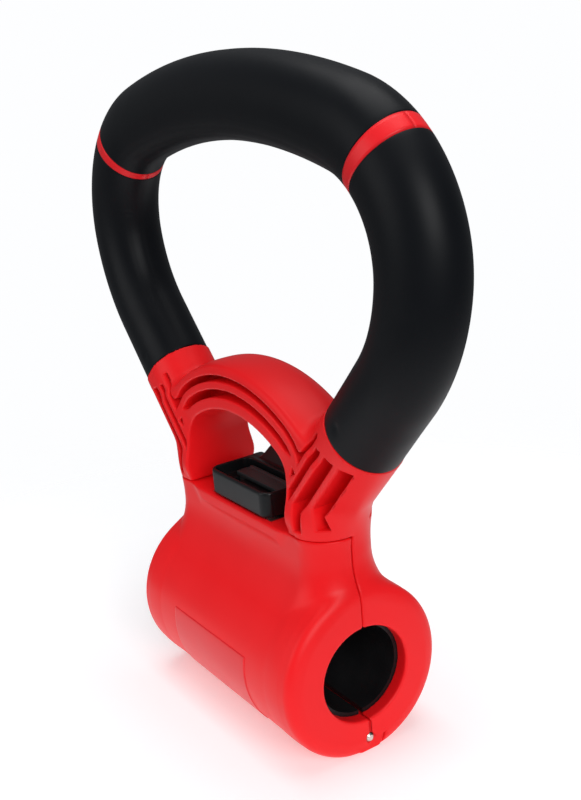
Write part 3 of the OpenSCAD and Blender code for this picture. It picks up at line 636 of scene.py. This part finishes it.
front_jaw = moulded("jaw_moulding", jaw_field, (-63, -39, -38), (63, 9.6, 60), 0.8, 0.62)
finish_piece(front_jaw, red_plastic, "front_jaw", "red_moulding", "front_jaw")
panel_red = grained_material(
    "red_nylon_panel", (0.76, 0.012, 0.018), (0.84, 0.016, 0.022), (0.32, 0.38), 4200, 0.000008, 40, 0.3
)
finish_piece(panel_piece(), panel_red, "front_jaw", "red_moulding")


# ---- handle core ----
# Two hollow half-tubes of the same red nylon, front and back. They slip over
# the frame's spigots, and show as a flush band between the rubber grips.
grip_t = 2.5
core_wall = 3.2
band_mid, band_half = 96.2, 2.5
runs = ((264.0, 16.0), (47.0, 82.5), (67.0, 33.5))
loop_top = 220.83
leg_run = 29.0
loop_end = sum(r * math.radians(a) for r, a in runs) + leg_run
wide_at, half_wide = (0, 96, 130, 165, 190, 209), (16.6, 17.2, 17.0, 16.5, 16.5, 16.7)
deep_at, half_deep = (0, 96, 209), (14.7, 14.9, 15.0)


def loop_line(s):
    """Centre line of the handle at a length s from its middle: three arcs that meet smoothly, and then a
    straight. It gives x, z and the angle of the outward direction from upright."""
    length = np.abs(s)
    x = np.zeros_like(length)
    z = np.zeros_like(length)
    turn = np.zeros_like(length)
    centre = np.array([0.0, loop_top - runs[0][0]])
    start, angle, radius = 0.0, 0.0, runs[0][0]
    for r, degrees in runs:
        centre = centre + (radius - r) * np.array([math.sin(angle), math.cos(angle)])
        radius = r
        here = length >= start
        a = angle + np.clip(length - start, 0, r * math.radians(degrees)) / r
        x = np.where(here, centre[0] + r * np.sin(a), x)
        z = np.where(here, centre[1] + r * np.cos(a), z)
        turn = np.where(here, a, turn)
        angle += math.radians(degrees)
        start += r * math.radians(degrees)
    beyond = np.maximum(length - start, 0)
    x = x + beyond * math.cos(angle)
    z = z - beyond * math.sin(angle)
    side = np.where(s < 0, -1.0, 1.0)
    return x * side, z, turn * side


def loop_point(s, around, inset):
    """A point of the handle's skin: an oval section, a little wider than it is deep, carried along the
    centre line."""
    x, z, turn = loop_line(s)
    length = np.abs(s)
    wide = np.interp(length, wide_at, half_wide)
    deep = np.interp(length, deep_at, half_deep)
    u = (wide - inset) * np.cos(around)
    v = (deep - inset) * np.sin(around)
    return np.stack([x + u * np.sin(turn), v + 0 * x, z + u * np.cos(turn)], -1)


def core_half(name, start):
    """Half of the core: a C-shaped section from one angle to the opposite one, swept along the whole loop.
    Its skin steps out from under the grips at each band."""
    edges = np.array([band_mid - band_half, band_mid + band_half])
    plain = np.linspace(-loop_end + 0.1, loop_end - 0.1, 260)
    steps = np.concatenate([s * (edges[:, None] + np.array([-0.02, 0.02])).ravel() for s in (-1, 1)])
    s = np.sort(np.concatenate([plain, steps]))
    out = np.where(np.abs(np.abs(s) - band_mid) < band_half, 0.02, grip_t)
    arc = start + np.linspace(0.0005, math.pi - 0.0005, 37)
    outer = loop_point(s[:, None], arc[None, :], out[:, None])
    inner = loop_point(s[:, None], arc[None, ::-1], np.full((len(s), 1), grip_t + core_wall))
    n = len(arc)
    cap = [[i, i + 1, 2 * n - 2 - i, 2 * n - 1 - i] for i in range(n - 1)]
    return closed_grid(name, np.concatenate([outer, inner], 1), False, cap)


band_red = grained_material(
    "red_nylon_band", (0.8, 0.012, 0.018), (0.87, 0.016, 0.022), (0.34, 0.42), 2600, 0.000015, 60, 0.22
)
finish_piece(core_half("core_half_front", math.pi), band_red, "frame", "red_moulding", "core_front")
finish_piece(core_half("core_half_back", 0.0), band_red, "frame", "red_moulding", "core_back")


# ---- grips ----
# Three sleeves of black rubber moulded over the core: one across the top and
# one down each side. Faint flow lines and small gate marks are left on them.
def sleeve(name, start, end, lines, gates):
    """A closed sleeve: a lengthwise profile with rounded ends, carried round the oval section.
    "lines" are angles of shallow grooves and "gates" are places (length, angle) of small dimples."""
    edge, cell = 0.45, 1.3
    wall, back = grip_t - 0.6, grip_t - 0.05
    inner_rows, sides = 40, 120
    step = np.linspace(0, math.pi / 2, 5)
    rows = int((end - start) / cell)
    outside = np.linspace(start + edge, end - edge, rows)
    inside = np.linspace(end, start, inner_rows)
    far_s, far_inset = end - edge + edge * np.sin(step[1:]), edge - edge * np.cos(step[1:])
    near_s, near_inset = start + edge - edge * np.cos(step[:-1]), edge - edge * np.sin(step[:-1])
    s = np.concatenate([outside, far_s, [end], inside, [start], near_s])
    inset = np.concatenate(
        [np.zeros(rows), far_inset, [wall], np.full(inner_rows, back), [wall], near_inset]
    )
    around = np.linspace(0, 2 * math.pi, sides, endpoint=False)
    s, inset = s[:, None], inset[:, None] + np.zeros((1, sides))
    skin = inset < edge + 0.01
    fade = np.clip((s - start) / 12, 0, 1) * np.clip((end - s) / 12, 0, 1)
    for angle, depth in lines:
        inset = inset + skin * fade * depth * np.exp(-(((around - angle) / 0.035) ** 2))
    for at, angle in gates:
        span = np.hypot(s - at, 16 * (around - angle))
        inset = inset + skin * 0.5 * np.exp(-((span / 1.5) ** 2))
    return closed_grid(name, loop_point(s, around[None, :], inset))


black_rubber = grained_material(
    "black_rubber", (0.0024, 0.0031, 0.0046), (0.0042, 0.005, 0.0068), (0.4, 0.5), 3200, 0.000015, 35, 0.13
)
seam = 0.12
band_in, band_out = band_mid - band_half - seam, band_mid + band_half + seam
top_lines = [(math.radians(a), d) for a, d in ((196, 0.10), (214, 0.14), (232, 0.12), (250, 0.06))]
side_lines = [(math.radians(a), d) for a, d in ((184, 0.12), (206, 0.06))]
side_gates = [(loop_end - 7.0, math.radians(262)), (126.0, math.radians(205))]
top_grip = sleeve("top_grip", -band_in, band_in, top_lines, [])
right_grip = sleeve("right_grip", band_out, loop_end - seam, side_lines, side_gates)
left_grip = sleeve("left_grip", -loop_end + seam, -band_out, side_lines, [(-a, b) for a, b in side_gates])
finish_piece(top_grip, black_rubber, "frame", "grip_rubber", "grip_top")
finish_piece(right_grip, black_rubber, "frame", "grip_rubber", "grip_right")
finish_piece(left_grip, black_rubber, "frame", "grip_rubber", "grip_left")


# ---- liners ----
# A half-round of soft black rubber is bonded into each jaw, so that the
# clamp grips a metal bar without marking it. The lip covers its ends.
liner_rubber = grained_material(
    "liner_rubber", (0.006, 0.006, 0.007), (0.012, 0.012, 0.013), (0.3, 0.5), 700, 0.0002, 90
)


def refinish(node, material):
    """Gives a CAD node that keeps its shape a better material."""
    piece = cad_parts[node]
    piece.data.materials.clear()
    piece.data.materials.append(material)


refinish("back_liner", liner_rubber)
refinish("front_liner", liner_rubber)


# ---- latch ----
# A black moulded lever across the top of the neck. Its tongue hooks into the
# jaw's catch plate, and the thumb tab at the back lifts it.
latch_low, latch_top = 58.4, 69.0
latch_front, latch_back, latch_half = -15.8, 11.5, 22.5


def latch_field(x, y, z):
    """A box with a recess in its top, a ramp that rises to a waisted tab, a tongue below and a hollow
    underside, with room for the frame's lugs and the lock's legs and a bore for the pin."""
    side = np.abs(x)
    tip = np.clip((17.5 - side) / 9.5, 0, 1)
    top = latch_top + 8.5 * tip * tip * (3 - 2 * tip)
    front = corner_distance(side - latch_half, latch_front - y, 5.0)
    back = corner_distance(side - latch_half, y - latch_back - 1.0, 2.5)
    plan = np.where(y < 0, front, back)
    lean = y - latch_back - 0.1 * (z - latch_top)
    ramp = (z - latch_top) * 0.42 - (y - 6.2) * 0.9
    block = smooth_max(smooth_max(plan, lean, 1.2), latch_low - z, 0.8)
    upper = smooth_max(z - top, ramp, 1.6)
    block = smooth_max(block, smooth_min(upper, z - latch_top, 0.8), 1.2)
    recess = corner_distance(side - 21.0, np.abs(y + 5.4) - 8.9, 3.4)
    d = smooth_max(block, -np.maximum(recess, 63.8 - z), 0.6)
    below = box_distance(x, y, z, (-20.7, -14.0, 40), (20.7, 2.1, 61.8), 0.5)
    tongue = box_distance(x, y, z, (-9, -9.5, 53.0), (9, -6.5, 63.2), 0.6)
    d = np.maximum(d, -below)
    pin = np.hypot(y - latch_pin_y, z - latch_pin_z)
    room = np.minimum(np.maximum(2.4 - y, z - latch_pin_z), pin - 4.2)
    d = np.maximum(d, -np.maximum(room, side - 15))
    d = np.maximum(d, -np.maximum(np.maximum(latch_pin_y - y, z - latch_pin_z), 4.5 - pin))
    d = np.minimum(d, tongue)
    legs = box_distance(side, y, z, (10.5, -10.6, 59.8), (15.1, -3.1, 90), 0.3)
    d = np.maximum(d, -legs)
    pin_bore = np.where(side < 22, np.maximum(1.55 - pin, side - 22), -far)
    return np.maximum(d, pin_bore)


black_plastic = grained_material(
    "black_acetal", (0.004, 0.005, 0.006), (0.007, 0.0085, 0.0095), (0.3, 0.4), 2800, 0.00002, 60, 0.25
)
lever = moulded("latch_moulding", latch_field, (-24, -17.4, 51.6), (24, 14.6, 79.4), 0.4, 0.6)
finish_piece(lever, black_plastic, "latch", "latch_plastic", "latch_lever")


# ---- lock ----
# A thin sliding plate that lies in the latch's recess. Two legs go down
# through the latch, and their toes slip under the catch plate's front edge.
def lock_field(x, y, z):
    """A flat plate with a low finger lip, two legs and two toes."""
    side = np.abs(x)
    plate = box_distance(x, y, z, (-16.5, -5.6, 64.1), (16.5, 3.0, 66.3), 0.7)
    lip = box_distance(x, y, z, (-15.2, 0.4, 65.0), (15.2, 2.2, 67.1), 0.6)
    leg = box_distance(side, y, z, (10.8, -5.2, 54.0), (14.8, -3.4, 65.0), 0.3)
    toe = box_distance(side, y, z, (10.8, -8.2, 54.0), (14.8, -4.7, 55.8), 0.3)
    return np.minimum(np.minimum(smooth_min(plate, lip, 0.8), leg), toe)


slate_plastic = grained_material(
    "slate_acetal", (0.021, 0.024, 0.026), (0.030, 0.034, 0.036), (0.42, 0.52), 2800, 0.00002, 60
)
lock = moulded("lock_moulding", lock_field, (-18, -9.4, 52.8), (18, 4.2, 68), 0.3, 0.7)
finish_piece(lock, slate_plastic, "lock", "lock_plastic", "lock_slider")


# ---- springs ----
# Two torsion springs of bright wire are wound round the latch pin, between
# its lugs, and push the tongue down into the catch.
def spring(name, side):
    """A wire tube: a circle carried along a helix round the latch pin, with a straight leg at each end."""
    wire_r, coil_r, turns, coil_start, coil_len = 0.43, 2.2, 5.0, 2.6, 4.2
    upright = np.array([0.0, 0.0, 1.0])
    t = np.linspace(0, 1, 241)
    a = 2 * math.pi * turns * t
    y, z = latch_pin_y - coil_r * np.cos(a), latch_pin_z + coil_r * np.sin(a)
    line = np.column_stack([coil_start + coil_len * t, y, z])
    first = line[0] + np.linspace(-3.2, -0.2, 8)[:, None] * upright
    last = line[-1] + np.linspace(0.2, 2.6, 8)[:, None] * upright
    line = np.concatenate([first, line, last])
    ahead = np.gradient(line, axis=0)
    ahead /= np.linalg.norm(ahead, axis=1)[:, None]
    across = np.cross(ahead, [1.0, 0.02, 0.03])
    across /= np.linalg.norm(across, axis=1)[:, None]
    over = np.cross(ahead, across)
    sides = 12
    ring = np.linspace(0, 2 * math.pi, sides, endpoint=False)
    tube = line[:, None, :] + wire_r * (
        np.cos(ring)[None, :, None] * across[:, None, :] + np.sin(ring)[None, :, None] * over[:, None, :]
    )
    if side < 0:
        tube = tube[:, ::-1] * np.array([-1, 1, 1])
    return closed_grid(name, tube, False, [list(range(sides))])


wire = grained_material(
    "spring_wire", (0.5, 0.5, 0.52), (0.62, 0.62, 0.63), (0.2, 0.3), 5000, 0.00001, 200, 0.5, 1
)
finish_piece(spring("torsion_spring_right", 1), wire, "frame", "spring_steel", "spring_right")
finish_piece(spring("torsion_spring_left", -1), wire, "frame", "spring_steel", "spring_left")


# ---- pins, plate and screws ----
# Small steel parts, turned or stamped and bright zinc plated. Only the domed
# end of the hinge pin shows while the jaw is shut.
zinc = grained_material(
    "bright_zinc", (0.62, 0.6, 0.55), (0.74, 0.72, 0.68), (0.2, 0.34), 3600, 0.00001, 150, 0.5, 1
)
for node in ("hinge_pin", "catch_plate", "catch_screws", "core_screws", "latch_pin"):
    refinish(node, zinc)
